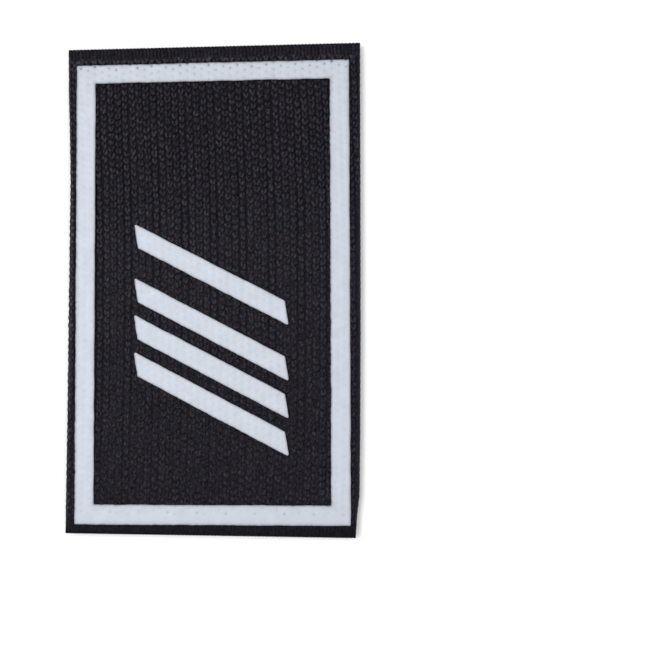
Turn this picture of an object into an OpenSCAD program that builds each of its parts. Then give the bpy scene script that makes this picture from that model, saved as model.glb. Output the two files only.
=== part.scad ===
/* [Tape] */
// Width across the cut edges, at the widest place
tape_w = 60.7; // [58:0.1:90]
// Height from selvage to selvage, at the tallest place
tape_h = 100.5; // [97:0.1:130]
// Thickness of the woven ground
tape_t = 1.0; // [0.8:0.1:1.6]
// Thickness of the two rounded selvages
selvage_t = 1.1; // [1.1:0.1:2]
// How much higher the bottom selvage is at the left than at the right
bottom_rise = 0.6; // [0:0.05:2]
// Cut edges from the bottom up, rows of [share of the height, left edge inset, right edge inset]
cut_edges = [
    [0.00, 0.00, 1.30],
    [0.04, 0.01, 1.05],
    [0.08, 0.05, 0.55],
    [0.21, 0.21, 0.34],
    [0.42, 0.35, 0.17],
    [0.63, 0.53, 0.10],
    [0.73, 0.60, 0.08],
    [0.84, 0.40, 0.06],
    [0.91, 0.18, 0.05],
    [1.00, 0.06, 0.00]
];

/* [Hooks] */
// Height of the hooks under the ground
hook_h = 1.3; // [0.8:0.1:2]
// Bare strip without hooks along each selvage
bare_selvage = 3; // [1:0.1:6]
// Distance of the outermost hooks from the widest line of the cut edges
hook_inset = 1.3; // [1.2:0.1:3]

/* [Film] */
// Thickness of the reflective film
film_t = 0.15; // [0.1:0.05:0.4]
// Radius of the film's corners
film_corner_r = 0.4; // [0.1:0.1:1]

/* [Border] */
// Width of the border from outer edge to outer edge
border_w = 56.5; // [50:0.1:56.5]
// Height of the border from outer edge to outer edge
border_h = 94.5; // [80:0.1:94.5]
// Width of the border's band at the left and the right
border_band = 3.9; // [2:0.1:8]
// Width of the border's band at the top
border_band_top = 3.75; // [2:0.05:8]
// Width of the border's band at the bottom
border_band_bottom = 4; // [2:0.05:8]
// How far the border's centre lies left of the middle of the tape
border_left = 0.13; // [0:0.01:0.5]
// How far the border's centre lies below the middle of the tape
border_below = 0.43; // [0:0.01:0.5]

/* [Stripes] */
// Stripes from the top down, rows of [height of the upper left corner above the border's centre, fall]
stripes = [
    [14.2, 16.1],
    [3.1, 16.3],
    [-4.5, 16.3],
    [-12.1, 16.3]
];
// Distance of the upper left corners from the border's centre
stripe_left = 16.1; // [10:0.05:20]
// Run of a stripe from left to right
stripe_run = 31.1; // [20:0.1:36]
// Length of a stripe's end, measured straight down
stripe_end = 5.05; // [3:0.05:7]
// How far a stripe's end leans to the right on its way down
stripe_lean = 0.8; // [0:0.1:2]

/* [Hidden] */
$fn = 48;

face_z = hook_h + tape_t;
selvage_r = selvage_t / 2;
// Steps in a rounded corner of the film
corner_steps = 5;

function blend(a, b, share) = a + (b - a) * share;
function unit(v) = v / norm(v);
function backwards(list) = [for (i = [len(list) - 1:-1:0]) list[i]];

// Rounded corner of an outline that runs anticlockwise, as points along its arc
function corner_arc(before, at, after, r) =
    let (
        back = unit(before - at),
        on = unit(after - at),
        half_angle = acos(back * on) / 2,
        middle = at + unit(back + on) * r / sin(half_angle),
        start = atan2(back[0], -back[1]),
        turn = 180 - 2 * half_angle
    )
    [for (i = [0:corner_steps])
        let (a = start + turn * i / corner_steps)
        middle + r * [cos(a), sin(a)]];

function rounded(points) =
    let (n = len(points))
    [for (i = [0:n - 1]) each corner_arc(points[(i + n - 1) % n], points[i], points[(i + 1) % n], film_corner_r)];

// Middle lines of the rounded selvages, which the cut edges run between
bottom_line = [-tape_h / 2 + bottom_rise + selvage_r, -tape_h / 2 + selvage_r];
top_line = [tape_h / 2 - selvage_r, tape_h / 2 - selvage_r];
left_edge = [for (row = cut_edges) [-tape_w / 2 + row[1], blend(bottom_line[0], top_line[0], row[0])]];
right_edge = [for (row = cut_edges) [tape_w / 2 - row[2], blend(bottom_line[1], top_line[1], row[0])]];

// Round edge that the weft makes where it turns back
module selvage(from, to) {
    run = to - from;
    translate([from[0], from[1], hook_h + tape_t / 2])
        rotate([0, 90, atan2(run[1], run[0])])
            cylinder(h = norm(run), r = selvage_r);
}

// Woven ground, cut from a long tape at the left and the right
module tape() {
    last = len(cut_edges) - 1;
    color("#24222a") {
        translate([0, 0, hook_h])
            linear_extrude(tape_t)
                polygon(concat(right_edge, backwards(left_edge)));
        selvage(left_edge[0], right_edge[0]);
        selvage(left_edge[last], right_edge[last]);
    }
}

// Outer form of the field of hooks, between the bare selvages
module hook_field() {
    color("#19181c")
        translate([-tape_w / 2 + hook_inset, -tape_h / 2 + bottom_rise + bare_selvage, 0])
            cube([tape_w - 2 * hook_inset, tape_h - bottom_rise - 2 * bare_selvage, hook_h]);
}

// Film of any outline, sealed flat on the tape
module film() {
    color("#cdd3df")
        translate([-border_left, -border_below, face_z])
            linear_extrude(film_t)
                children();
}

module border() {
    w = border_w / 2;
    h = border_h / 2;
    film() difference() {
        polygon(rounded([[-w, -h], [w, -h], [w, h], [-w, h]]));
        translate([border_band - w, border_band_bottom - h])
            square([border_w - 2 * border_band, border_h - border_band_top - border_band_bottom]);
    }
}

module stripe(row) {
    upper_left = [-stripe_left, row[0]];
    end = [stripe_lean, -stripe_end];
    across = [stripe_run, -row[1]];
    film() polygon(rounded([upper_left, upper_left + end, upper_left + end + across, upper_left + across]));
}

tape();
hook_field();
border();
stripe(stripes[0]);  // stripe_1
stripe(stripes[1]);  // stripe_2
stripe(stripes[2]);  // stripe_3
stripe(stripes[3]);  // stripe_4
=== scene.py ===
"""Rank patch: a badge of black hook tape with a border and four stripes of silver film."""
import math

import bmesh
import bpy
import numpy as np
from mathutils import Matrix, Vector, noise


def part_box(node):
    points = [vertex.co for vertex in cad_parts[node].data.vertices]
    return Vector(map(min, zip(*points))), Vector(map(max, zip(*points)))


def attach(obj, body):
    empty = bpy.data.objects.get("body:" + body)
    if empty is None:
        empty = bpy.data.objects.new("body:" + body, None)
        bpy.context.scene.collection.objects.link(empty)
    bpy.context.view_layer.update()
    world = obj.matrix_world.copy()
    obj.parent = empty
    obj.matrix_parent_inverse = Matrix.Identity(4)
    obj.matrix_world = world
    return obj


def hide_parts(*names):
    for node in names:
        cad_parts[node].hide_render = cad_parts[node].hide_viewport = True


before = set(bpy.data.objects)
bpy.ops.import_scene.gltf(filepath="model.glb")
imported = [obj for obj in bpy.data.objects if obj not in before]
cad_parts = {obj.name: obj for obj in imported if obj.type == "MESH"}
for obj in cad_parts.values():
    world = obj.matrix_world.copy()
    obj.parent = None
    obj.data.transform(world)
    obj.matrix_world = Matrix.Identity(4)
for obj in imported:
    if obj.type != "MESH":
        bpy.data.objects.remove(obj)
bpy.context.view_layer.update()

bl_info = {
    "name": "Rank patch",
    "version": (1, 0, 0),
    "blender": (4, 5, 0),
    "location": "3D View > Sidebar > Patch",
    "description": "Weaves, seals and lights a rank patch around its solids",
    "category": "Add Mesh",
}

BODY = "root"
MM = 0.001
STRIPES = ("stripe_1", "stripe_2", "stripe_3", "stripe_4")
HOOK_PIECES = ("hooks_facing_right", "hooks_facing_left")
YARN_PIECES = (
    "stitches_left", "stitches_right", "selvage_top", "selvage_bottom", "cut_edge_left", "cut_edge_right")

# Height of the tip of a stitch in each of the four columns of the repeat, as a share of a row
TIP_HEIGHTS = (0.35, 0.65, 0.14, 0.89)
REPEAT = len(TIP_HEIGHTS)


def linear(colour):
    """Turns an sRGB hex colour such as #24222A into a linear red, green and blue."""
    channels = (int(colour[i:i + 2], 16) / 255 for i in (1, 3, 5))
    return tuple(c / 12.92 if c <= 0.04045 else ((c + 0.055) / 1.055) ** 2.4 for c in channels)


def times(colour, factor):
    """A colour made lighter or darker, by one factor or one for each channel, as a socket takes it."""
    return (*(min(1, channel * each) for channel, each in zip(colour, np.broadcast_to(factor, 3))), 1)


def length_property(name, description, default_mm):
    return bpy.props.FloatProperty(
        name=name, description=description, default=default_mm * MM, unit="LENGTH", precision=5)


def angle_property(name, description, default_degrees):
    return bpy.props.FloatProperty(
        name=name, description=description, default=math.radians(default_degrees), subtype="ANGLE")


def colour_property(name, description, colour):
    return bpy.props.FloatVectorProperty(
        name=name, description=description, default=linear(colour), subtype="COLOR", min=0, max=1)


class WeaveSettings(bpy.types.PropertyGroup):
    """Sizes and colour of the woven tape."""
    column_pitch: length_property("Column pitch", "Distance from one column of stitches to the next", 1.4906)
    row_pitch: length_property("Row pitch", "Distance from one stitch to the next in its column", 1.44)
    first_column: length_property("First column", "Distance of a column from the middle of the border", 1.01)
    column_lean: angle_property("Column lean", "How far the columns lean to the left on their way up", 2.05)
    row_fall: angle_property("Row fall", "How far the rows fall to the right", 0.45)
    bare_top: length_property("Bare top", "Ribbed selvage above the stitches", 2.2)
    bare_bottom: length_property("Bare bottom", "Ribbed selvage below the stitches", 2.7)
    ground_depth: length_property("Ground", "Thickness of the ground behind the stitches", 0.42)
    bead_width: length_property("Bead width", "Width of the fused cut edges where they are narrowest", 0.4)
    bead_height: length_property("Bead height", "Thickness of the fused cut edges", 0.86)
    colour: colour_property("Yarn", "Colour of the yarn", "#19171D")
    seed: bpy.props.IntProperty(name="Seed", description="Number that sets the unevenness", default=11)


class HookSettings(bpy.types.PropertyGroup):
    """Sizes and colour of the hooks."""
    wire: length_property("Filament", "Diameter of the hooks' filament", 0.2)
    reach: length_property("Reach", "Width of a hook's bow", 0.62)
    colour: colour_property("Filament colour", "Colour of the hooks", "#141316")


class FilmSettings(bpy.types.PropertyGroup):
    """Sizes and colour of the reflective film."""
    mesh_step: length_property("Mesh step", "Distance between the points of the film's mesh", 0.15)
    corner: length_property("Corner", "Radius of the film's corners", 0.3)
    pinhole: length_property("Pinhole", "Radius of the dents over the binding points", 0.23)
    dent: length_property("Dent", "Depth of a dent of full strength", 0.05)
    spread: length_property("Spread", "How far the film spreads past its outline when it is sealed", 0.02)
    colour: colour_property("Film", "Colour of the film", "#B2B7C1")


class StageSettings(bpy.types.PropertyGroup):
    """Camera and floor."""
    lens: bpy.props.FloatProperty(name="Lens", description="Focal length in millimetres", default=70)
    distance: length_property("Distance", "Distance of the camera from the plane of the film", 256.23)
    aside: length_property("Aside", "How far the border's middle stands left of the camera's axis", 22.72)
    above: length_property("Above", "How far the border's middle stands above the camera's axis", 6.32)
    pitch: angle_property("Pitch", "Turn of the view about the patch's X", -2.58)
    yaw: angle_property("Yaw", "Turn of the view about the patch's Y", -4.71)
    roll: angle_property("Roll", "Turn of the view about its own axis", 0.40)
    floor: colour_property("Floor", "Colour of the floor", "#F4F4F4")


class PatchSettings(bpy.types.PropertyGroup):
    """All the settings of the patch."""
    weave: bpy.props.PointerProperty(type=WeaveSettings)
    hooks: bpy.props.PointerProperty(type=HookSettings)
    film: bpy.props.PointerProperty(type=FilmSettings)
    stage: bpy.props.PointerProperty(type=StageSettings)


def in_mm(settings, *names):
    """The named lengths of a group of settings, in millimetres."""
    return [getattr(settings, name) / MM for name in names]


def box_mm(node):
    """Lowest and highest corner of a solid, in millimetres."""
    return [np.array(corner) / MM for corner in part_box(node)]


def points_mm(node):
    return np.array([vertex.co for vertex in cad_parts[node].data.vertices]) / MM


def smooth_noise(points, scale_mm, shift=0.0):
    """Smooth noise from -1 to 1 at each point, with bumps about scale_mm wide. Each shift gives its own
    pattern."""
    return np.array([noise.noise(Vector((p[0] / scale_mm + shift, p[1] / scale_mm, shift))) for p in points])


# Measures of the solids, in millimetres, and the outline of the tape
TAPE_LOW, TAPE_HIGH = box_mm("tape")
HOOKS_LOW, HOOKS_HIGH = box_mm("hook_field")
BORDER_LOW, BORDER_HIGH = box_mm("border")
BORDER_MIDDLE = (BORDER_LOW + BORDER_HIGH) / 2
GROUND_BACK = HOOKS_HIGH[2]
FILM_UNDER, FILM_TOP = BORDER_LOW[2], BORDER_HIGH[2]
TAPE_POINTS = points_mm("tape")
TAPE_POINTS = TAPE_POINTS[np.argsort(TAPE_POINTS[:, 1])]
LEFT_POINTS = TAPE_POINTS[TAPE_POINTS[:, 0] < 0]
RIGHT_POINTS = TAPE_POINTS[TAPE_POINTS[:, 0] > 0]
SIDES_X = (LEFT_POINTS[:, 0].mean(), RIGHT_POINTS[:, 0].mean())


def left_edge(y):
    return np.interp(y, LEFT_POINTS[:, 1], LEFT_POINTS[:, 0])


def right_edge(y):
    return np.interp(y, RIGHT_POINTS[:, 1], RIGHT_POINTS[:, 0])


def bottom_edge(x):
    return np.interp(x, SIDES_X, (LEFT_POINTS[0, 1], RIGHT_POINTS[0, 1]))


def top_edge(x):
    return np.interp(x, SIDES_X, (LEFT_POINTS[-1, 1], RIGHT_POINTS[-1, 1]))


def film_outline(node):
    """Corner points of a film piece's solid, outer loop first, as lists of (x, y) in order."""
    work = bmesh.new()
    work.from_mesh(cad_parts[node].data)
    bmesh.ops.remove_doubles(work, verts=work.verts, dist=1e-6)
    top = {face for face in work.faces if face.normal.z > 0.9}
    rim = [edge for edge in work.edges if len(top.intersection(edge.link_faces)) == 1]
    loops = []
    while rim:
        edge = rim.pop()
        loop = [edge.verts[0], edge.verts[1]]
        while True:
            following = next((e for e in rim if loop[-1] in e.verts), None)
            if following is None:
                break
            rim.remove(following)
            loop.append(following.other_vert(loop[-1]))
        loops.append(np.array([vertex.co[:2] for vertex in loop[:-1]]) / MM)
    work.free()
    return sorted(loops, key=lambda loop: -np.ptp(loop[:, 1]))


def inside(loop, x, y):
    """Whether each point lies inside a closed loop."""
    found = np.zeros(np.shape(x), bool)
    for (x0, y0), (x1, y1) in zip(loop, np.roll(loop, -1, axis=0)):
        if y0 != y1:
            spans = (y0 > y) != (y1 > y)
            found ^= spans & (x < (x1 - x0) * (y - y0) / (y1 - y0) + x0)
    return found


FILM_LOOPS = [film_outline("border")] + [film_outline(name) for name in STRIPES]


def under_film(x, y, margin=0.0):
    """Whether each point lies under film, margin millimetres or more from the film's edge."""
    covered = np.zeros(np.shape(x), bool)
    for loops in FILM_LOOPS:
        held = np.ones(np.shape(x), bool)
        for dx, dy in ((0, 0), (margin, 0), (-margin, 0), (0, margin), (0, -margin)):
            within = inside(loops[0], x + dx, y + dy)
            for hole in loops[1:]:
                within &= ~inside(hole, x + dx, y + dy)
            held &= within
        covered |= held
    return covered


# The columns turn below this height over the border's middle, in millimetres. Part of the turn stays the
# same from there on and part of it grows
TURN_BELOW, TURN_STEADY, TURN_GROWING = 18, 0.02, 0.00037


def bend_of(y):
    """How far the columns stand to the left of a straight line, at a height y over the border's middle. The
    tape isn't woven quite straight: its columns lean to the left at the top, stand upright near the middle
    and lean to the right at the bottom."""
    below = np.maximum(0, TURN_BELOW - y)
    return TURN_STEADY * below + TURN_GROWING * below ** 2


def column_at(weave, x, y):
    """Number of the column of stitches at each place, with its fraction."""
    column_pitch, first_column = in_mm(weave, "column_pitch", "first_column")
    x, y = x - BORDER_MIDDLE[0], y - BORDER_MIDDLE[1]
    return (x - first_column + math.tan(weave.column_lean) * y + bend_of(y)) / column_pitch


# How far the rows of stitches have slipped down, at these heights over the border's middle
SLIPPED_AT, SLIPPED = (-42, -22, -10, 24), (0.62, 0.58, 0.28, 0)


def binding_points(weave):
    """Places of the tips of all the stitches, with their column numbers."""
    column_pitch, row_pitch, first_column = in_mm(weave, "column_pitch", "row_pitch", "first_column")
    lean, fall = math.tan(weave.column_lean), math.tan(weave.row_fall)
    # The columns and rows lean, so some more of them are needed than fit side by side
    spare = 3
    span = int((TAPE_HIGH[0] - TAPE_LOW[0]) / column_pitch / 2) + spare
    climb = int((TAPE_HIGH[1] - TAPE_LOW[1]) / row_pitch / 2) + spare
    columns, rows = np.meshgrid(np.arange(-span, span), np.arange(-climb, climb), indexing="ij")
    steps = np.array(TIP_HEIGHTS)[columns % REPEAT]
    y = row_pitch * (rows + steps)
    bend = bend_of(y)
    y = y - np.interp(y, SLIPPED_AT, SLIPPED)
    x = first_column + column_pitch * columns - lean * y - bend
    y = y - fall * x
    places = np.stack([x + BORDER_MIDDLE[0], y + BORDER_MIDDLE[1]], axis=-1).reshape(-1, 2)
    # Yarns wander a little over stretches longer than a stitch
    places[:, 0] += 0.07 * smooth_noise(places, 9.0, 3.1)
    places[:, 1] += 0.08 * smooth_noise(places, 7.0, 8.7)
    return places, columns.ravel()


# Share of their relief that the heat press leaves the stitches, at these heights
PRESSED_AT, PRESSED = (-25, 0, 16, 32), (0.26, 0.31, 0.40, 0.54)
# Share of that which the hot knife leaves beside the left edge, at these heights, and beside the right edge
MELTED_AT, MELTED_LEFT, MELTED_RIGHT = (15, 30), (0.85, 0.5), 0.85


def crispness(x, y):
    """How much of their relief the stitches keep. The heat press has flattened the lower ones most, and the
    hot knife has flattened those between the film and the cut edges further."""
    # At the bottom those on the left are flatter than those on the right, at the top the other way round
    aslant = 0.001 * x * np.interp(y, (0, 40), (1, -1))
    pressed = np.interp(y, PRESSED_AT, PRESSED) + aslant
    melted_left = np.where(x < BORDER_LOW[0], np.interp(y, MELTED_AT, MELTED_LEFT), 1)
    return melted_left * np.where(x > BORDER_HIGH[0], MELTED_RIGHT, 1) * pressed


def tube(path, half_width, half_height, sides, across=None, turned=0.0):
    """Closed tube along a path, as (points, quads, triangles). Its width lies along across, or level where
    across isn't given, and turned is the angle from there to the first point of each ring."""
    path = np.array(path, float)
    along = np.gradient(path, axis=0)
    along /= np.linalg.norm(along, axis=1, keepdims=True)
    if across is None:
        across = np.cross(along, (0, 0, 1))
        across /= np.linalg.norm(across, axis=1, keepdims=True)
    else:
        across = np.tile(np.array(across, float), (len(path), 1))
    lift = np.cross(across, along)
    angles = np.arange(sides) * 2 * math.pi / sides + turned
    wide = np.broadcast_to(half_width, len(path))[:, None, None]
    high = np.broadcast_to(half_height, len(path))[:, None, None]
    sideways = across[:, None] * np.cos(angles)[:, None] * wide
    upward = lift[:, None] * np.sin(angles)[:, None] * high
    rings = path[:, None] + sideways + upward
    points = np.vstack([rings.reshape(-1, 3), path[:1], path[-1:]])
    start = np.arange(sides)
    after = (start + 1) % sides
    ring = np.arange(len(path) - 1)[:, None] * sides
    quads = np.stack([ring + start, ring + after, ring + after + sides, ring + start + sides], axis=-1)
    end = (len(path) - 1) * sides
    caps = [np.stack([after, start, np.full(sides, len(points) - 2)], axis=-1),
            np.stack([end + start, end + after, np.full(sides, len(points) - 1)], axis=-1)]
    return points, quads.reshape(-1, 4), np.vstack(caps)


def ring_values(values, sides):
    """A value for each point of a tube, from one value for each of its rings."""
    return np.concatenate([np.repeat(values, sides), [values[0], values[-1]]])


def joined(parts):
    """Joins (points, quads, triangles) into one."""
    starts = np.cumsum([0] + [len(points) for points, _, _ in parts[:-1]])
    return (np.vstack([points for points, _, _ in parts]),
            np.vstack([quads + start for (_, quads, _), start in zip(parts, starts)]),
            np.vstack([triangles + start for (_, _, triangles), start in zip(parts, starts)]))


def copied(template, places, shapes):
    """One copy of the template at each place, bent by its own 3 by 3 matrix, as one mesh."""
    points, quads, triangles = template
    placed = np.einsum("nij,pj->npi", shapes, points) + places[:, None]
    starts = (np.arange(len(places)) * len(points))[:, None, None]
    return placed.reshape(-1, 3), (quads + starts).reshape(-1, 4), (triangles + starts).reshape(-1, 3)


def numbered(grid):
    """The numbers of a grid's points, laid out as the grid is."""
    return np.arange(grid.shape[0] * grid.shape[1]).reshape(grid.shape[:2])


def grid_quads(number):
    """The four-sided faces of a grid of point numbers."""
    corners = (number[:-1, :-1], number[:-1, 1:], number[1:, 1:], number[1:, :-1])
    return np.stack(corners, axis=-1).reshape(-1, 4)


def rim_of(number):
    """The outermost point numbers of a grid, in order around it."""
    return np.concatenate([number[0, :-1], number[:-1, -1], number[-1, :0:-1], number[:0:-1, 0]])


def walls(upper, lower):
    """Faces between two closed rows of point numbers."""
    return np.stack([upper, np.roll(upper, -1), np.roll(lower, -1), lower], axis=-1)


def slab(upper, lower):
    """Closed body between two grids of points of the same size."""
    number = numbered(upper)
    below = number + number.size
    quads = np.vstack([grid_quads(number), grid_quads(below), walls(rim_of(number), rim_of(below))])
    return np.vstack([upper.reshape(-1, 3), lower.reshape(-1, 3)]), quads


def strip(grid, flat_z):
    """Closed body between a relief grid and a flat underside at flat_z."""
    number = numbered(grid)
    points = grid.reshape(-1, 3)
    rim = rim_of(number)
    below = np.arange(len(rim)) + len(points)
    under = dict(zip(rim.tolist(), below.tolist()))
    flat = np.column_stack([points[rim][:, :2], np.full(len(rim), flat_z)])
    sides = zip(number[0, 1:-2], number[0, 2:-1], number[-1, 2:-1], number[-1, 1:-2])
    spans = [[under[n] for n in corners] for corners in sides]
    ends = [[under[n] for n in (*number[:, 0], number[-1, 1], number[0, 1])],
            [under[n] for n in (*number[:, -1], number[-1, -2], number[0, -2])]]
    return np.vstack([points, flat]), np.vstack([grid_quads(number), walls(rim, below)]), spans + ends


def frame_strip(grid, flat_z):
    """Closed ring between a relief grid that closes on itself along its columns and a flat underside."""
    number = numbered(grid)
    points = grid.reshape(-1, 3)
    rims = np.concatenate([number[0], number[-1]])
    flat = np.column_stack([points[rims][:, :2], np.full(len(rims), flat_z)])
    outer, inner = (np.arange(len(rims)) + len(points)).reshape(2, -1)
    quads = np.vstack([
        grid_quads(np.hstack([number, number[:, :1]])),
        walls(number[0], outer),
        walls(number[-1], inner),
        walls(outer, inner),
    ])
    return np.vstack([points, flat]), quads


def add_piece(name, shape, material, replaced, tones=None, sharp_at=None):
    """Makes an object from points in millimetres, gives it its finish and fixes it to the part.
    Edges that turn more than sharp_at degrees stay crisp."""
    points, *face_sets = shape
    faces = []
    for each in face_sets:
        faces += each if isinstance(each, list) else each.tolist()
    mesh = bpy.data.meshes.new(name)
    mesh.from_pydata((points * MM).tolist(), [], faces)
    work = bmesh.new()
    work.from_mesh(mesh)
    bmesh.ops.recalc_face_normals(work, faces=work.faces)
    for face in work.faces:
        face.smooth = True
    work.to_mesh(mesh)
    work.free()
    if sharp_at:
        mesh.set_sharp_from_angle(angle=math.radians(sharp_at))
    for label, values in (tones or {}).items():
        attribute = mesh.attributes.new(label, "FLOAT", "POINT")
        attribute.data.foreach_set("value", np.asarray(values, np.float32))
    mesh.materials.append(material)
    piece = bpy.data.objects.new(name, mesh)
    bpy.context.scene.collection.objects.link(piece)
    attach(piece, BODY)
    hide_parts(*replaced)
    return piece


def add_node(tree, kind, inputs=(), **settings):
    """Adds a node with its settings. inputs pairs a socket with a value or with the output to link to it."""
    made = tree.nodes.new(kind)
    for name, value in settings.items():
        setattr(made, name, value)
    for socket, value in inputs:
        if isinstance(value, bpy.types.NodeSocket):
            tree.links.new(value, made.inputs[socket])
        else:
            made.inputs[socket].default_value = value
    return made


def material_of(surface):
    """The material named after a surface function, which adds its nodes the first time it is asked for."""
    name = surface.__name__
    if name not in bpy.data.materials:
        material = bpy.data.materials.new(name)
        material.use_nodes = True
        tree = material.node_tree
        tree.nodes.clear()
        add_node(tree, "ShaderNodeOutputMaterial", [("Surface", surface(tree).outputs[0])])
    return bpy.data.materials[name]


def black_nylon_yarn_woven(tree):
    """Black textured nylon yarn, woven and heat-set: a dull surface with fine bright filaments along it."""
    yarn = bpy.context.scene.rank_patch.weave.colour
    place = add_node(tree, "ShaderNodeTexCoord").outputs["Object"]
    tone = add_node(tree, "ShaderNodeAttribute", attribute_name="tone").outputs["Fac"]
    # Filaments of 0.03 mm would not show, so they are drawn 0.1 mm wide and 0.7 mm long
    stretched = add_node(tree, "ShaderNodeMapping", [
        ("Vector", place), ("Scale", (10 / MM, 1.4 / MM, 6 / MM))])
    filaments = add_node(tree, "ShaderNodeTexNoise", [
        ("Vector", stretched.outputs[0]), ("Scale", 1.0), ("Detail", 2.0), ("Roughness", 0.6)])
    grain = add_node(tree, "ShaderNodeMapRange", [
        ("Value", filaments.outputs["Fac"]), ("From Min", 0.3), ("From Max", 0.7),
        ("To Min", 0.6), ("To Max", 1.4)])
    # The crimp of textured yarn catches the light in spots about half a millimetre wide
    crimp = add_node(tree, "ShaderNodeTexNoise", [("Vector", place), ("Scale", 1.9 / MM), ("Detail", 1.5)])
    spots = add_node(tree, "ShaderNodeMapRange", [
        ("Value", crimp.outputs["Fac"]), ("From Min", 0.35), ("From Max", 0.7),
        ("To Min", 0.56), ("To Max", 1.58)])
    uneven = add_node(tree, "ShaderNodeMath", [
        (0, grain.outputs[0]), (1, spots.outputs[0])], operation="MULTIPLY")
    # Yarns take the dye a little differently, some bluer and some browner
    dye = add_node(tree, "ShaderNodeTexNoise", [("Vector", place), ("Scale", 2.5 / MM), ("Detail", 1.5)])
    tint = add_node(tree, "ShaderNodeMapRange", [
        ("Value", dye.outputs["Fac"]), ("From Min", 0.35), ("From Max", 0.65)])
    bluer, browner = (0.84, 1.03, 1.1, 1), (1.17, 0.96, 0.93, 1)
    hue = add_node(tree, "ShaderNodeMix", [
        ("Factor", tint.outputs[0]), ("A", bluer), ("B", browner)], data_type="RGBA")
    # Painted shade and highlight: a low tone gives the deep colour, painted shade between and under the
    # yarns,
    # and a high tone gives the pale colour, painted light on their tops
    deep_shade, pale = times(yarn, (0.54, 0.49, 0.63)), times(yarn, (3.1, 3.3, 2.9))
    shade = add_node(tree, "ShaderNodeMix", [("Factor", tone), ("A", deep_shade), ("B", pale)], data_type="RGBA")
    tinted = add_node(tree, "ShaderNodeMix", [
        ("Factor", 1.0), ("A", shade.outputs["Result"]), ("B", hue.outputs["Result"])],
        data_type="RGBA", blend_type="MULTIPLY")
    dyed_and_shaded = add_node(tree, "ShaderNodeMix", [
        ("Factor", 1.0), ("A", tinted.outputs["Result"]), ("B", uneven.outputs[0])],
        data_type="RGBA", blend_type="MULTIPLY")
    raised = add_node(tree, "ShaderNodeBump", [
        ("Height", filaments.outputs["Fac"]), ("Strength", 0.6), ("Distance", 0.04 * MM)])
    # The fuzz of broken filaments swallows most of the gloss that bare nylon has
    return add_node(tree, "ShaderNodeBsdfPrincipled", [
        ("Base Color", dyed_and_shaded.outputs["Result"]), ("Roughness", 0.5), ("IOR", 1.53),
        ("Specular IOR Level", 0.04), ("Normal", raised.outputs[0])])


def black_nylon_fused_edge(tree):
    """Nylon cut with a hot knife: melted, shrunk to a hard black bead, lumpy and a little glossy."""
    yarn = bpy.context.scene.rank_patch.weave.colour
    place = add_node(tree, "ShaderNodeTexCoord").outputs["Object"]
    tone = add_node(tree, "ShaderNodeAttribute", attribute_name="tone").outputs["Fac"]
    # Pale where a stitch is caught in the bead, partly a painted highlight; the rest in painted shade
    shade = add_node(tree, "ShaderNodeMix", [
        ("Factor", tone), ("A", times(yarn, 0.7)), ("B", times(yarn, (11, 12, 10)))], data_type="RGBA")
    # The melt has set in lumps about half a millimetre wide
    lumps = add_node(tree, "ShaderNodeTexNoise", [("Vector", place), ("Scale", 2.2 / MM), ("Detail", 3.0)])
    gloss = add_node(tree, "ShaderNodeMapRange", [
        ("Value", lumps.outputs["Fac"]), ("To Min", 0.3), ("To Max", 0.6)])
    raised = add_node(tree, "ShaderNodeBump", [
        ("Height", lumps.outputs["Fac"]), ("Strength", 0.5), ("Distance", 0.08 * MM)])
    return add_node(tree, "ShaderNodeBsdfPrincipled", [
        ("Base Color", shade.outputs["Result"]), ("Roughness", gloss.outputs[0]), ("IOR", 1.53),
        ("Specular IOR Level", 0.1), ("Normal", raised.outputs[0])])


def black_nylon_monofilament(tree):
    """Drawn nylon monofilament, heat-set into hooks: smooth and black, a clear highlight along each bow."""
    filament = bpy.context.scene.rank_patch.hooks.colour
    tone = add_node(tree, "ShaderNodeAttribute", attribute_name="tone").outputs["Fac"]
    shade = add_node(tree, "ShaderNodeMix", [
        ("Factor", tone), ("A", times(filament, 1)), ("B", times(filament, 2))], data_type="RGBA")
    return add_node(tree, "ShaderNodeBsdfPrincipled", [
        ("Base Color", shade.outputs["Result"]), ("Roughness", 0.32), ("IOR", 1.53)])


def silver_glass_bead_film(tree):
    """Heat-seal reflective film, glass beads over aluminium in a clear binder: pale silver-grey, satin,
    evenly grainy, greyer where a binding point of the tape has pushed through it."""
    film = bpy.context.scene.rank_patch.film.colour
    tape_below = (*linear("#3A3D44"), 1)
    place = add_node(tree, "ShaderNodeTexCoord").outputs["Object"]
    pit = add_node(tree, "ShaderNodeAttribute", attribute_name="pit").outputs["Fac"]
    # The beads are 0.06 mm across, drawn 0.12 mm so that some of their grain shows
    beads = add_node(tree, "ShaderNodeTexNoise", [("Vector", place), ("Scale", 8 / MM), ("Detail", 1.0)])
    # The film is a little uneven, in clouds about two millimetres wide
    clouds = add_node(tree, "ShaderNodeTexNoise", [("Vector", place), ("Scale", 0.45 / MM), ("Detail", 3.0)])
    mottled = add_node(tree, "ShaderNodeMix", [
        ("Factor", clouds.outputs["Fac"]), ("A", times(film, 0.83)), ("B", times(film, 1.05))],
        data_type="RGBA")
    worn = add_node(tree, "ShaderNodeMix", [
        ("Factor", pit), ("A", mottled.outputs["Result"]), ("B", tape_below)], data_type="RGBA")
    gloss = add_node(tree, "ShaderNodeMapRange", [
        ("Value", beads.outputs["Fac"]), ("To Min", 0.42), ("To Max", 0.62)])
    raised = add_node(tree, "ShaderNodeBump", [
        ("Height", beads.outputs["Fac"]), ("Strength", 0.25), ("Distance", 0.02 * MM)])
    # Beads and binder lie over the aluminium, so the film looks only partly metallic
    return add_node(tree, "ShaderNodeBsdfPrincipled", [
        ("Base Color", worn.outputs["Result"]), ("Metallic", 0.25), ("Roughness", gloss.outputs[0]),
        ("Normal", raised.outputs[0])])


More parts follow.
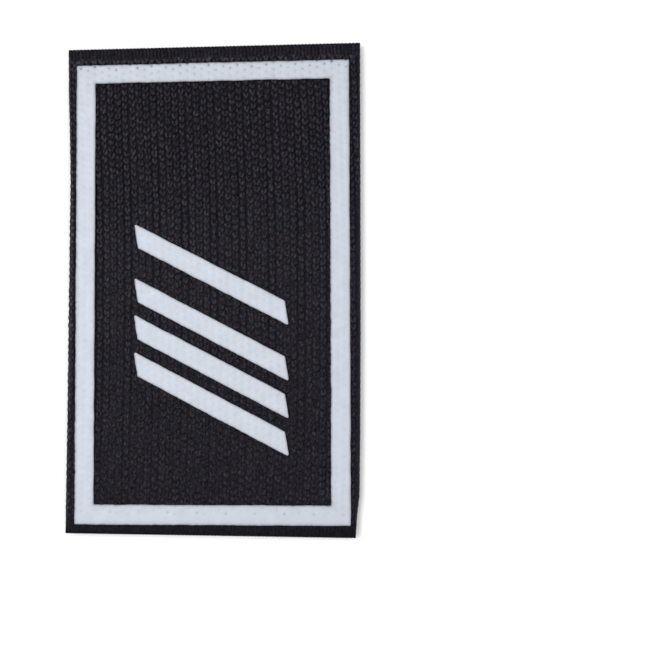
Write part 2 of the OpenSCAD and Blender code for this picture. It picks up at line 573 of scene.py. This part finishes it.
def white_paper_matte(tree):
    """White matte paper: an even, pale floor."""
    floor = bpy.context.scene.rank_patch.stage.floor
    place = add_node(tree, "ShaderNodeTexCoord").outputs["Object"]
    # Its fibres are too fine to show, so they are drawn about a third of a millimetre wide
    fibres = add_node(tree, "ShaderNodeTexNoise", [("Vector", place), ("Scale", 3 / MM), ("Detail", 2.0)])
    raised = add_node(tree, "ShaderNodeBump", [("Height", fibres.outputs["Fac"]), ("Strength", 0.05)])
    return add_node(tree, "ShaderNodeBsdfPrincipled", [
        ("Base Color", times(floor, 1)), ("Roughness", 0.85), ("Normal", raised.outputs[0])])


class PATCH_OT_stage(bpy.types.Operator):
    """Sets up the floor, the lights and the camera"""
    bl_idname = "rank_patch.stage"
    bl_label = "Stage"

    def execute(self, context):
        self.floor()
        self.lights(context.scene)
        self.camera(context.scene)
        return {"FINISHED"}

    def floor(self):
        """A flat sheet three metres wide, on which the patch lies."""
        mesh = bpy.data.meshes.new("floor")
        work = bmesh.new()
        bmesh.ops.create_grid(work, x_segments=8, y_segments=8, size=1.5)
        work.to_mesh(mesh)
        work.free()
        mesh.materials.append(material_of(white_paper_matte))
        floor = bpy.data.objects.new("floor", mesh)
        bpy.context.scene.collection.objects.link(floor)

    def lights(self, scene):
        """A wide soft light high on the left, a weaker one on the right, and a white surround."""
        world = bpy.data.worlds.new("studio_surround")
        world.use_nodes = True
        world.node_tree.nodes["Background"].inputs["Color"].default_value = (1, 1, 1, 1)
        world.node_tree.nodes["Background"].inputs["Strength"].default_value = 0.85
        scene.world = world
        for name, place, size, power in (
                ("key_softbox", (-1.2, 0.2, 2.9), 1.6, 45),
                ("fill_softbox", (1.6, 0.4, 2.5), 1.8, 12)):
            lamp = bpy.data.lights.new(name, "AREA")
            lamp.shape = "SQUARE"
            lamp.size = size
            lamp.energy = power
            light = bpy.data.objects.new(name, lamp)
            light.location = place
            light.rotation_euler = (-Vector(place)).to_track_quat("-Z", "Y").to_euler()
            scene.collection.objects.link(light)
        scene.view_settings.view_transform = "Standard"

    def camera(self, scene):
        """Looks almost straight down on the patch, as the photograph does."""
        stage = scene.rank_patch.stage
        turn = (Matrix.Rotation(stage.roll, 3, "Z") @ Matrix.Rotation(stage.yaw, 3, "Y")
                @ Matrix.Rotation(stage.pitch, 3, "X"))
        back = turn.transposed()
        aim = Vector((BORDER_MIDDLE[0], BORDER_MIDDLE[1], FILM_TOP)) * MM
        place = aim + back @ Vector((stage.aside, -stage.above, stage.distance))
        lens = bpy.data.cameras.new("photo_camera")
        lens.lens = stage.lens
        lens.sensor_width = 36
        lens.clip_start = 0.01
        camera = bpy.data.objects.new("photo_camera", lens)
        camera.matrix_world = Matrix.Translation(place) @ back.to_4x4()
        scene.collection.objects.link(camera)
        scene.camera = camera


class PATCH_OT_stitches(bpy.types.Operator):
    """Works the columns of stitches on the face of the tape"""
    bl_idname = "rank_patch.stitches"
    bl_label = "Stitches"

    # Each leg of a stitch from its top to the tip, in millimetres from the tip's place: (x, y, z, half
    # width, half height, how light it is painted). The light and shade along a leg are painted: the left leg
    # is lightest above its middle, the right one below
    LEFT_LEG = (
        (-0.24, 1.32, -0.36, 0.21, 0.12, 0.25),
        (-0.37, 1.05, -0.08, 0.29, 0.18, 0.7),
        (-0.41, 0.76, 0.02, 0.32, 0.21, 1.5),
        (-0.32, 0.47, -0.02, 0.32, 0.20, 0.95),
        (-0.14, 0.22, -0.12, 0.30, 0.17, 0.65),
        (0.04, -0.02, -0.36, 0.21, 0.10, 0.4),
    )
    RIGHT_LEG = (
        (0.26, 1.32, -0.38, 0.20, 0.12, 0.3),
        (0.38, 1.05, -0.14, 0.27, 0.18, 0.45),
        (0.39, 0.76, -0.04, 0.31, 0.20, 0.85),
        (0.30, 0.48, 0.02, 0.33, 0.21, 1.2),
        (0.16, 0.21, 0.00, 0.32, 0.19, 1.1),
        (0.0, -0.05, -0.32, 0.23, 0.10, 0.55),
    )
    # Height above the tip up to which the lower half of a leg reaches
    LOWER_HALF = 0.5
    # How the legs differ over the four columns of the repeat: (shift to the right, shift up, how light, how
    # light the lower half is beside that, both painted light and shade, further shift to the right across
    # the middle of the patch, where the channels beside the first column open)
    LEFT_VARIED = (
        (0.01, 0.05, 1.05, 0.95, 0.10),
        (0.01, 0.22, 0.95, 1, 0.05),
        (0, -0.02, 1.15, 0.75, 0),
        (0, -0.20, 1.3, 0.55, 0),
    )
    RIGHT_VARIED = (
        (-0.12, 0.02, 1.1, 1.2, 0),
        (-0.05, 0.02, 1.15, 1.2, 0),
        (0, 0.04, 0.9, 0.9, 0),
        (0.03, 0.02, 0.85, 0.9, -0.13),
    )
    # Share of that further shift, at these heights
    OPENED_AT, OPENED = (-44, -20, 5, 25), (0, 1, 1, 0)
    # Painted shading round a leg, how light each side is painted: a flank, the ridge, the other flank and
    # three underneath, the ridge lightest and the underside in painted shade
    ROUND = (0.8, 1.15, 0.8, 0.7, 0.7, 0.7)
    SIDES = len(ROUND)
    HEIGHT = 1.1
    HALF_WIDTH = 0.6
    # How far off the legs are: bent, as a share of their size, sunk and beside their place, in millimetres
    BENT, SUNK, BESIDE = 0.05, 0.08, 0.035

    def legs(self, rows, varied, places, columns, level, rng):
        """One leg at each place, each a little different, with a tone for each point."""
        rows = np.array(rows)
        varied = np.array(varied)[columns % REPEAT]
        shift, light, light_below, further = varied[:, :2], varied[:, 2], varied[:, 3:4], varied[:, 4]
        template = tube(rows[:, :3], rows[:, 3], rows[:, 4], self.SIDES, turned=math.pi / self.SIDES)
        count = len(places)
        x, y = places.T
        crisp = crispness(x, y)
        shapes = np.tile(np.eye(3), (count, 1, 1))
        shapes[:, :2, :2] += rng.normal(0, self.BENT, (count, 2, 2)) * (2 - crisp)[:, None, None]
        shapes[:, 2, 2] *= crisp
        sunk = np.abs(rng.normal(0, self.SUNK, count))
        beside = rng.normal(0, self.BESIDE, (count, 2))
        middles = np.column_stack([places + shift + beside, level - sunk])
        middles[:, 0] += further * np.interp(y, self.OPENED_AT, self.OPENED)
        shape = copied(template, middles, shapes)
        # Crisp legs are painted paler than flat ones, a painted highlight on the raised legs, and they
        # differ more from one to the next
        patchy = 0.04 * smooth_noise(places, 6.0, 12.3) + 0.06 * smooth_noise(places, 2.3, 15.1)
        tones = 0.31 + 0.36 * crisp + patchy + (0.4 + 0.65 * crisp) * rng.normal(0, 0.14, count)
        # Painted light and shade over broad areas: paler across the middle, to the left, and in the strip
        # left of the film
        tones += 0.12 * np.exp(-((y - 3) / 20) ** 2) - 0.0012 * x + 0.1 * (x < BORDER_LOW[0])
        # Painted highlight: the last stitches before the upper selvage are painted paler, some more than
        # others
        painted_highlight_band = 3.6
        tones += rng.uniform(0, 0.7, count) * (y > top_edge(x) - painted_highlight_band)
        tones = np.clip(tones, 0.05, 1) * (1 + crisp * (light - 1))
        round_shading = np.append(np.tile(self.ROUND, len(rows)), (1, 1))
        lower_half_shading = np.where(ring_values(rows[:, 1], self.SIDES) < self.LOWER_HALF, light_below, 1)
        along = 1 + crisp[:, None] * (ring_values(rows[:, 5], self.SIDES) * round_shading * lower_half_shading - 1)
        # Here and there a few filaments catch the light on one spot of the leg
        glinting = 0.08
        spot = np.where(rng.random(count) < glinting, rng.integers(1, len(rows) - 1, count), -1)
        glints = ring_values(np.arange(len(rows)), self.SIDES) == spot[:, None]
        return shape, (tones[:, None] * along + 0.5 * crisp[:, None] * glints).ravel()

    def execute(self, context):
        weave = context.scene.rank_patch.weave
        bare_top, bare_bottom, row_pitch = in_mm(weave, "bare_top", "bare_bottom", "row_pitch")
        rng = np.random.default_rng(weave.seed)
        places, columns = binding_points(weave)
        # The last stitch of each column is moved down to end at the selvage, if it isn't too far above
        lap, too_far, room = 0.1, 0.55 * row_pitch, 0.2
        last = top_edge(places[:, 0]) - bare_top - self.HEIGHT + lap
        over = places[:, 1] - last
        ending = (over > 0) & (over < too_far)
        places[ending, 1] = last[ending]
        x, y = places.T
        kept = (over < too_far) & (y > bottom_edge(x) + bare_bottom)
        kept &= (x > left_edge(y) + room) & (x < right_edge(y) - room)
        # Stitches that the film hides whole are left out
        kept &= ~under_film(x, y + self.HEIGHT / 2, self.HALF_WIDTH + 0.3)
        places, columns = places[kept], columns[kept]
        level = FILM_UNDER - 0.17
        # Half of the stitches go into each of two pieces, so that neither grows too large
        middle = np.median(places[:, 0])
        for name, chosen in zip(YARN_PIECES, (places[:, 0] < middle, places[:, 0] >= middle)):
            chart = places[chosen], columns[chosen], level, rng
            left, left_tones = self.legs(self.LEFT_LEG, self.LEFT_VARIED, *chart)
            right, right_tones = self.legs(self.RIGHT_LEG, self.RIGHT_VARIED, *chart)
            points, quads, triangles = joined([left, right])
            # Yarns end in the cut edges, and the hot film has pressed flat what lies under it
            x, y, z = points.T
            fused = 0.08
            points[:, 0] = np.clip(x, left_edge(y) + fused, right_edge(y) - fused)
            points[:, 2] = np.where(under_film(x, y), np.minimum(z, FILM_UNDER - 0.02), z)
            tones = {"tone": np.concatenate([left_tones, right_tones])}
            yarn = material_of(black_nylon_yarn_woven)
            add_piece(name, (points, quads, triangles), yarn, ["tape"], tones)
        return {"FINISHED"}


class PATCH_OT_selvages(bpy.types.Operator):
    """Turns the weft round the two selvages"""
    bl_idname = "rank_patch.selvages"
    bl_label = "Selvages"

    # Path of a rib round the selvage: (distance in from the edge, height above the back of the ground, how
    # light it is painted). It is painted dark, as shade, where it turns down at the edge
    TURN = ((1.7, 0.80, 1.0), (1.1, 0.84, 1.0), (0.65, 0.85, 1.0), (0.33, 0.79, 0.9), (0.13, 0.66, 0.5),
            (0.07, 0.48, 0.2), (0.13, 0.30, 0.2), (0.33, 0.14, 0.3), (0.8, 0.08, 0.4), (2.8, 0.10, 0.4))
    # Name, line of the edge, which way it faces, how far in it starts, how light it looks and how uneven,
    # how much lighter its ribs are where the stitches begin, and how much of their relief the ribs keep at
    # its left and its right end. The bottom selvage is pressed almost smooth on the left
    EDGES = (
        ("selvage_top", top_edge, 1, -0.12, 0.10, 0.03, 1.4, (1, 1)),
        ("selvage_bottom", bottom_edge, -1, 0.08, 0.005, 0.005, 16, (0.05, 0.8)),
    )
    RIB_HEIGHT = 0.26
    # Painted shading round a rib, how light each side is painted, from its right one over its ridge and
    # round: the ridge lightest, the sides in painted shade
    ROUND = (0.1, 1.0, 2.0, 1.0, 0.1, 0.5, 0.8, 0.5)

    def execute(self, context):
        weave = context.scene.rank_patch.weave
        column_pitch, bare_top, bare_bottom = in_mm(weave, "column_pitch", "bare_top", "bare_bottom")
        pitch = column_pitch / 2
        rng = np.random.default_rng(weave.seed + 1)
        for row, run in zip(self.EDGES, (bare_top, bare_bottom)):
            name, edge, outward, inset, light, uneven, paler, reliefs = row
            parts, tones = [], []
            level = edge(0.0)
            # The ribs run on in the direction of the columns that they come from
            height = level - BORDER_MIDDLE[1]
            lean = math.tan(weave.column_lean) + (bend_of(height + 1) - bend_of(height))
            path = np.array([(run + 0.5, 0.66, paler), (run, 0.80, paler), *self.TURN])
            for x in np.arange(left_edge(level) + pitch / 2, right_edge(level - outward * run), pitch):
                relief = np.interp(x, SIDES_X, reliefs)
                wander = rng.normal(0, 0.02, len(path)) * relief
                # The line of a flatter rib lies further out, so that its face, edge and back stay in place
                flatter = self.RIB_HEIGHT / 2 * (1 - relief)
                y = edge(x) - outward * (path[:, 0] + inset - flatter)
                leaning = x - lean * (y - level) + wander
                places = np.column_stack([leaning, y, GROUND_BACK + path[:, 1] + 0.3 * wander])
                room = 0.1
                if not left_edge(y[0]) + room <= leaning[0] <= right_edge(y[0]) - room:
                    continue
                thick = self.RIB_HEIGHT / 2 * relief * (1 + rng.normal(0, 0.5 * uneven))
                places[:, 2] += np.sign(path[:, 1] - path[:, 1].mean()) * flatter
                points, *faces = tube(places, pitch / 2, thick, len(self.ROUND), across=(1, 0, 0))
                points[:, 0] = np.clip(points[:, 0], left_edge(points[:, 1]), right_edge(points[:, 1]))
                parts.append((points, *faces))
                rounding = 1 + relief * (np.array(self.ROUND) - 1)
                round_shading = np.append(np.outer(path[:, 2], rounding), (0.8, 0.4))
                tones.append(0.3 * light + round_shading * np.clip(rng.normal(light, uneven), 0, 1))
            tones = {"tone": np.concatenate(tones)}
            yarn = material_of(black_nylon_yarn_woven)
            add_piece(name, joined(parts), yarn, ["tape"], tones, sharp_at=60)
        return {"FINISHED"}


class PATCH_OT_cut_edges(bpy.types.Operator):
    """Seals the two cut edges with a fused bead"""
    bl_idname = "rank_patch.cut_edges"
    bl_label = "Cut edges"

    RINGS, SIDES = 420, 10
    # Heights in millimetres at which each bead's row says how wide and how pale it is
    HEIGHTS = (-33, -11, 13, 37)
    # Name, line of the edge, which way it faces, how far the bead stands out of it, how wide it is melted,
    # in bead widths, and how pale its dots are, partly painted highlight: the left bead's dots are painted
    # paler, as the light comes from the left
    EDGES = (
        ("cut_edge_left", left_edge, -1, 0.11, (1.8, 2.8, 2.4, 1.4), (0.8, 0.8, 0.7, 0.35)),
        ("cut_edge_right", right_edge, 1, 0.05, (1, 1, 1, 1), (0.12, 0.12, 0.12, 0.12)),
    )

    def execute(self, context):
        weave = context.scene.rank_patch.weave
        row_pitch, bead_width, bead_height = in_mm(weave, "row_pitch", "bead_width", "bead_height")
        for name, edge, outward, proud, widths, brights in self.EDGES:
            x_at = edge(0.0)
            y = np.linspace(bottom_edge(x_at) + 0.15, top_edge(x_at) + 0.05, self.RINGS)
            spots = np.column_stack([np.full(len(y), x_at), y])
            lumps = smooth_noise(spots, 0.8, 2.0 + outward)
            scallops = np.cos(2 * math.pi * y / row_pitch + outward)
            melted = np.interp(y, self.HEIGHTS, widths) * bead_width / 2
            half_width = melted * (1 + 0.15 * lumps + 0.1 * scallops)
            half_height = bead_height / 2 * (1 + 0.10 * smooth_noise(spots, 1.3, 5.0 + outward))
            middle = GROUND_BACK + bead_height / 2 - 0.04 + 0.03 * lumps
            path = np.column_stack([edge(y) - outward * (melted - proud), y, middle])
            shape = tube(path, half_width, half_height, self.SIDES)
            # A pale dot on the inside of the bead where each stitch is caught in it, partly a painted
            # highlight on its upper inner side, and painted shade on the outside
            bright = np.interp(y, self.HEIGHTS, brights)
            light = np.clip(0.06 + bright * np.maximum(scallops + 0.1 + 0.4 * lumps, 0) ** 2, 0, 0.6)
            dots_at = math.pi / 2 + 0.85 * outward
            turned = np.arange(self.SIDES) * 2 * math.pi / self.SIDES - dots_at
            inner = 0.1 + np.maximum(np.cos(turned), 0) ** 2
            tones = {"tone": ring_values(light, self.SIDES) * np.append(np.tile(inner, len(y)), (1, 1))}
            add_piece(name, shape, material_of(black_nylon_fused_edge), ["tape"], tones)
        return {"FINISHED"}


class PATCH_OT_hooks(bpy.types.Operator):
    """Sets the field of hooks under the tape"""
    bl_idname = "rank_patch.hooks"
    bl_label = "Hooks"

    SIDES = 5

    def execute(self, context):
        settings = context.scene.rank_patch
        weave = settings.weave
        wire, reach = in_mm(settings.hooks, "wire", "reach")
        rng = np.random.default_rng(weave.seed + 2)
        radius = wire / 2
        drop = HOOKS_HIGH[2] - HOOKS_LOW[2]
        # Each hook was a loop, cut open on one side: an arm with the bow, and the stub of the other side
        bow = reach / 2 - radius
        lowest = -(drop - radius - 0.02)
        angles = np.radians((0, 45, 90, 135, 180))
        arc = [(bow - bow * math.cos(a), 0, lowest + bow - bow * math.sin(a)) for a in angles]
        arm = [(-0.05, 0, 0.12), (0.03, 0, -0.35), *arc, (2 * bow + 0.02, 0, lowest + bow + 0.22)]
        stub = [(2 * bow + 0.30, 0, 0.12), (2 * bow + 0.14, 0, -0.42)]
        hook = joined([tube(path, radius, radius, self.SIDES, across=(0, 1, 0)) for path in (arm, stub)])
        places, columns = binding_points(weave)
        rim = np.array([reach / 2 + 0.1, 0])
        kept = ((places > HOOKS_LOW[:2] + rim) & (places < HOOKS_HIGH[:2] - rim)).all(1)
        places, columns = places[kept], columns[kept]
        # The hooks of every other column face the other way, and each turns and leans a little differently
        for name, facing, odd in zip(HOOK_PIECES, (1, -1), (0, 1)):
            spots = places[columns % 2 == odd]
            count = len(spots)
            turn = rng.normal(0, 0.16, count) + (0 if facing > 0 else math.pi)
            shapes = np.zeros((count, 3, 3))
            shapes[:, 0, 0] = shapes[:, 1, 1] = np.cos(turn)
            shapes[:, 1, 0] = np.sin(turn)
            shapes[:, 0, 1] = -np.sin(turn)
            shapes[:, 2, 2] = 1 - np.abs(rng.normal(0, 0.03, count))
            shapes[:, 0, 2] = rng.normal(0, 0.05, count)
            shapes[:, 1, 2] = rng.normal(0, 0.06, count)
            spots = spots + rng.normal(0, 0.05, (count, 2))
            spots[:, 0] -= facing * reach / 2
            middles = np.column_stack([spots, np.full(count, GROUND_BACK)])
            shape = copied(hook, middles, shapes)
            tones = {"tone": np.repeat(rng.uniform(0, 1, count), len(hook[0]))}
            add_piece(name, shape, material_of(black_nylon_monofilament), ["hook_field"], tones)
        return {"FINISHED"}


class PATCH_OT_ground(bpy.types.Operator):
    """Weaves the ground of the tape, with its ribbed back"""
    bl_idname = "rank_patch.ground"
    bl_label = "Ground"

    ROWS = 150
    COLUMNS = 250
    # Share of their depth that the channels between the columns have, at these heights
    CHANNELS_AT, CHANNELS = (-44, -20, 5, 20, 34), (0.1, 0.55, 0.65, 0.78, 0.25)
    # How pale the ground is painted, at these heights: its dark tone is painted shade under the stitches,
    # deepest near the top
    PALE_AT, PALE = (-44, -20, 5, 16, 30), (0.15, 0.2, 0.2, 0.13, 0.01)

    def execute(self, context):
        weave = context.scene.rank_patch.weave
        column_pitch, row_pitch, depth = in_mm(weave, "column_pitch", "row_pitch", "ground_depth")
        # The ground ends inside the selvages' turn and the beads of the cut edges
        seam, bead = 0.2, 0.05
        share = np.linspace(0, 1, self.ROWS)[:, None] + np.zeros((1, self.COLUMNS))
        level = TAPE_LOW[1] + share * (TAPE_HIGH[1] - TAPE_LOW[1])
        left, right = left_edge(level) + bead, right_edge(level) - bead
        x = left + (right - left) * np.linspace(0, 1, self.COLUMNS)
        low, high = bottom_edge(x) + seam, top_edge(x) - seam
        y = low + (high - low) * share
        across, up = 2 * math.pi * x / column_pitch, 2 * math.pi * y / row_pitch
        ribs = np.abs(np.sin(across)) * (0.6 + 0.4 * np.sin(up))
        back = np.dstack([x, y, GROUND_BACK + 0.09 - 0.08 * ribs])
        # Between the columns the ground lies deeper and is painted darker there as shade, most beside the
        # first of each four
        column = column_at(weave, x, y)
        beside_first = np.minimum(column % REPEAT, -column % REPEAT) < 1
        channel = np.maximum(0, -np.cos(2 * math.pi * column)) * np.where(beside_first, 1, 0.4)
        channel *= np.interp(y, self.CHANNELS_AT, self.CHANNELS)
        raised = 0.1 + 0.25 * (1 - crispness(x, y)) - 0.28 * channel
        face = np.dstack([x, y, GROUND_BACK + depth + raised + 0.03 * np.sin(2 * up) * np.sin(across)])
        shape = slab(face, back)
        pale = np.interp(y, self.PALE_AT, self.PALE)
        tones = {"tone": np.tile((pale * (1 - channel)).ravel(), 2)}
        yarn = material_of(black_nylon_yarn_woven)
        ground = add_piece("tape_ground", shape, yarn, ["tape"], tones, sharp_at=50)
        return {"FINISHED"}


def rounded_loop(low, high, radius, across, up, around):
    """Rectangle with round corners as a loop of points: so many across, up and around each corner."""
    (x0, y0), (x1, y1) = low, high
    corners = ((x1 - radius, y0 + radius, -90), (x1 - radius, y1 - radius, 0),
               (x0 + radius, y1 - radius, 90), (x0 + radius, y0 + radius, 180))
    loop = []
    for index, (cx, cy, start) in enumerate(corners):
        angles = np.radians(start + np.linspace(0, 90, around))
        arc = np.column_stack([cx + radius * np.cos(angles), cy + radius * np.sin(angles)])
        following = corners[(index + 1) % 4]
        end = np.radians(following[2])
        target = np.array([following[0] + radius * math.cos(end), following[1] + radius * math.sin(end)])
        steps = up if index % 2 == 0 else across
        side = arc[-1] + (target - arc[-1]) * (np.arange(1, steps) / steps)[:, None]
        loop += [arc, side]
    return np.vstack(loop)


# How far a dent lies to the right of the tip of its stitch and above it, in millimetres
DENT_SHIFT = (0.05, 0.18)
# Depth and radius of the faint print of a stitch, in millimetres
PRINT_DEPTH, PRINT_RADIUS = 0.03, 0.42


def film_relief(grid, inward, ring=False):
    """Film whose outline and mesh are a grid of (x, y): wavy edges, dents over the binding points of the
    tape and a faint print of its stitches. inward is the distance of each point from the film's edge. Gives
    the shape, and how much of the black shows through at each point."""
    settings = bpy.context.scene.rank_patch
    radius, dent = in_mm(settings.film, "pinhole", "dent")
    rows, columns = grid.shape[:2]
    flat = grid.reshape(-1, 2)
    slow = np.column_stack([smooth_noise(flat, 2.6, 1.5), smooth_noise(flat, 2.6, 6.5)])
    quick = np.column_stack([smooth_noise(flat, 0.7, 3.5), smooth_noise(flat, 0.7, 9.5)])
    flat = flat + 0.07 * slow + 0.045 * quick
    places, column = binding_points(settings.weave)
    places = places + np.array(DENT_SHIFT)
    reach = 3 * radius
    low, high = flat.min(0) - reach, flat.max(0) + reach
    # The lowest two millimetres of the film are smooth
    smooth, one_row = 2.0, 2.7
    kept = (places > low).all(1) & (places < high).all(1) & (places[:, 1] > BORDER_LOW[1] + smooth)
    places, column = places[kept], column[kept]
    rng = np.random.default_rng(settings.weave.seed + 3)
    from_top, from_bottom = BORDER_HIGH[1] - places[:, 1], places[:, 1] - BORDER_LOW[1]
    # The dents are strong along the top, fade over the next few millimetres and are faint on the rest
    strength = (0.07 if ring else 0.05) + 0.45 * np.exp(-(from_top / 1.2) ** 2)
    strength += 0.12 * np.exp(-(from_top / 5.0) ** 2)
    # Along the bottom one column in four has pushed through, in a single row
    strength += 0.2 * ((column % REPEAT == 2) & (from_bottom < one_row))
    strength *= np.clip(rng.normal(1, 0.35, len(places)), 0.2, 1.8)
    pits = np.zeros(len(flat))
    print_of = np.zeros(len(flat))
    # Points are sorted into cells of a millimetre, so that each dent looks only at those near it
    cells = {}
    for number, cell in enumerate(map(tuple, np.floor(flat).astype(int).tolist())):
        cells.setdefault(cell, []).append(number)
    for place, power in zip(places, strength):
        kx, ky = np.floor(place).astype(int).tolist()
        near = [n for dx in (-1, 0, 1) for dy in (-1, 0, 1) for n in cells.get((kx + dx, ky + dy), ())]
        if near:
            gap = ((flat[near] - place) ** 2).sum(1)
            pits[near] = np.maximum(pits[near], power * np.exp(-gap / radius ** 2))
            print_of[near] = np.maximum(print_of[near], np.exp(-gap / PRINT_RADIUS ** 2))
    z = FILM_TOP - dent * pits - PRINT_DEPTH * print_of + 0.01 * smooth_noise(flat, 4.0, 4.0)
    surface = np.dstack([flat.reshape(rows, columns, 2), z.reshape(rows, columns)])
    shape = (frame_strip if ring else strip)(surface, FILM_UNDER - 0.08)
    # The film thins out in its last third of a millimetre
    thin = 0.75 * np.exp(-inward.ravel() / 0.2)
    through = pits + thin * (1 + 0.3 * quick[:, 0])
    # Painted shade: the bands at the top and the bottom are painted a little greyer than the sides
    through += np.interp(np.abs(flat[:, 1] - BORDER_MIDDLE[1]), (41, 44), (0, 0.03))
    underside = np.full(len(shape[0]) - len(pits), 0.8)
    return shape, np.concatenate([np.clip(through, 0, 1), underside])


class PATCH_OT_border(bpy.types.Operator):
    """Seals the film border on the tape"""
    bl_idname = "rank_patch.border"
    bl_label = "Border"

    def execute(self, context):
        step, corner, spread = in_mm(context.scene.rank_patch.film, "mesh_step", "corner", "spread")
        hole = FILM_LOOPS[0][1]
        low, high = BORDER_LOW[:2], BORDER_HIGH[:2]
        around = 5
        counts = (int((high[0] - low[0]) / step), int((high[1] - low[1]) / step), around)
        outer = rounded_loop(low - spread, high + spread, corner, *counts)
        inner = rounded_loop(hole.min(0) + spread, hole.max(0) - spread, corner, *counts)
        band = hole.min(0)[0] - low[0]
        share = np.linspace(0, 1, int(band / step) + 1)[:, None, None]
        # The first and last rows lie close together, for a crisp edge
        share[1], share[-2] = 0.015, 0.985
        inward = np.minimum(share, 1 - share)[:, :, 0] * band + np.zeros(len(outer))
        shape, pits = film_relief(outer + (inner - outer) * share, inward, ring=True)
        film = material_of(silver_glass_bead_film)
        add_piece("border_film", shape, film, ["border"], {"pit": pits}, sharp_at=40)
        return {"FINISHED"}


class PATCH_OT_stripes(bpy.types.Operator):
    """Seals the four film stripes on the tape"""
    bl_idname = "rank_patch.stripes"
    bl_label = "Stripes"

    def execute(self, context):
        step, corner, spread = in_mm(context.scene.rank_patch.film, "mesh_step", "corner", "spread")
        for name, loops in zip(STRIPES, FILM_LOOPS[1:]):
            corners = self.grown(self.sharp_corners(loops[0]), spread)
            upper_left, lower_left, lower_right, upper_right = corners
            width = np.linalg.norm(upper_right - upper_left)
            end = np.linalg.norm(lower_left - upper_left)
            across, down = (np.linspace(0, 1, int(length / step)) for length in (width, end))
            across, down = across[None, :, None], down[:, None, None]
            # The first and last points lie close together, for a crisp edge
            across[0, 1], across[0, -2] = 0.002, 0.998
            down[1], down[-2] = 0.012, 0.988
            upper = upper_left + (upper_right - upper_left) * across
            lower = lower_left + (lower_right - lower_left) * across
            grid = upper + (lower - upper) * down
            for index in range(4):
                self.round_off(grid, corners[index - 1], corners[index], corners[(index + 1) % 4], corner)
            height = (upper_left - lower_left)[1]
            from_ends, from_sides = (np.minimum(share, 1 - share) for share in (across, down))
            inward = np.minimum(from_sides * height, from_ends * width)[:, :, 0]
            shape, pits = film_relief(grid, inward)
            film = material_of(silver_glass_bead_film)
            add_piece("film_" + name, shape, film, [name], {"pit": pits}, sharp_at=40)
        return {"FINISHED"}

    @staticmethod
    def sharp_corners(loop):
        """The four corners of a parallelogram with small rounded ones, anticlockwise from the upper left."""
        edges = np.roll(loop, -1, axis=0) - loop
        sides = sorted(np.argsort(-np.linalg.norm(edges, axis=1))[:4])
        corners = []
        for before, after in zip(np.roll(sides, 1), sides):
            along = np.column_stack([edges[before], -edges[after]])
            travel = np.linalg.solve(along, loop[after] - loop[before])[0]
            corners.append(loop[before] + travel * edges[before])
        corners = np.array(corners)
        middle = corners.mean(0)
        order = np.argsort(np.arctan2(*(corners - middle).T[::-1]))
        corners = corners[order]
        first = np.argmin(corners[:, 0] - 0.01 * corners[:, 1])
        return np.roll(corners, -first, axis=0)

    @staticmethod
    def grown(corners, spread):
        """The corners of the parallelogram whose sides lie spread millimetres further out."""
        sides = np.roll(corners, -1, axis=0) - corners
        sides /= np.linalg.norm(sides, axis=1, keepdims=True)
        back = -np.roll(sides, 1, axis=0)
        sine = np.abs(sides[:, 0] * back[:, 1] - sides[:, 1] * back[:, 0])[:, None]
        return corners - (sides + back) * spread / sine

    @staticmethod
    def round_off(grid, before, at, after, radius):
        """Draws the points of a grid that lie outside a corner's arc in to it."""
        back, on = before - at, after - at
        back, on = back / np.linalg.norm(back), on / np.linalg.norm(on)
        half_angle = math.acos(float(back @ on)) / 2
        inward = (back + on) / np.linalg.norm(back + on)
        middle = at + inward * radius / math.sin(half_angle)
        reach = radius / math.tan(half_angle)
        offset = grid - at
        outside = (offset @ back < reach) & (offset @ on < reach)
        from_middle = grid - middle
        far = np.linalg.norm(from_middle, axis=-1)
        moved = outside & (far > radius) & (from_middle @ inward < 0)
        grid[moved] = middle + from_middle[moved] * (radius / far[moved])[:, None]


class PATCH_PT_sidebar(bpy.types.Panel):
    """Lists the steps and the sizes of the patch"""
    bl_idname = "PATCH_PT_sidebar"
    bl_label = "Rank patch"
    bl_space_type = "VIEW_3D"
    bl_region_type = "UI"
    bl_category = "Patch"

    def draw(self, context):
        settings = context.scene.rank_patch
        for step in STEPS:
            self.layout.operator(step.bl_idname)
        for group in (settings.weave, settings.hooks, settings.film, settings.stage):
            box = self.layout.box()
            for name in group.bl_rna.properties.keys():
                if name not in ("rna_type", "name"):
                    box.prop(group, name)


STEPS = (
    PATCH_OT_stage,
    PATCH_OT_stitches,
    PATCH_OT_selvages,
    PATCH_OT_cut_edges,
    PATCH_OT_hooks,
    PATCH_OT_ground,
    PATCH_OT_border,
    PATCH_OT_stripes,
)
CLASSES = (WeaveSettings, HookSettings, FilmSettings, StageSettings, PatchSettings, *STEPS, PATCH_PT_sidebar)


def register():
    for each in CLASSES:
        bpy.utils.register_class(each)
    bpy.types.Scene.rank_patch = bpy.props.PointerProperty(type=PatchSettings)


def unregister():
    del bpy.types.Scene.rank_patch
    for each in reversed(CLASSES):
        bpy.utils.unregister_class(each)


def main():
    register()
    for step in STEPS:
        group, name = step.bl_idname.split(".")
        getattr(getattr(bpy.ops, group), name)()


if __name__ == "__main__":
    main()
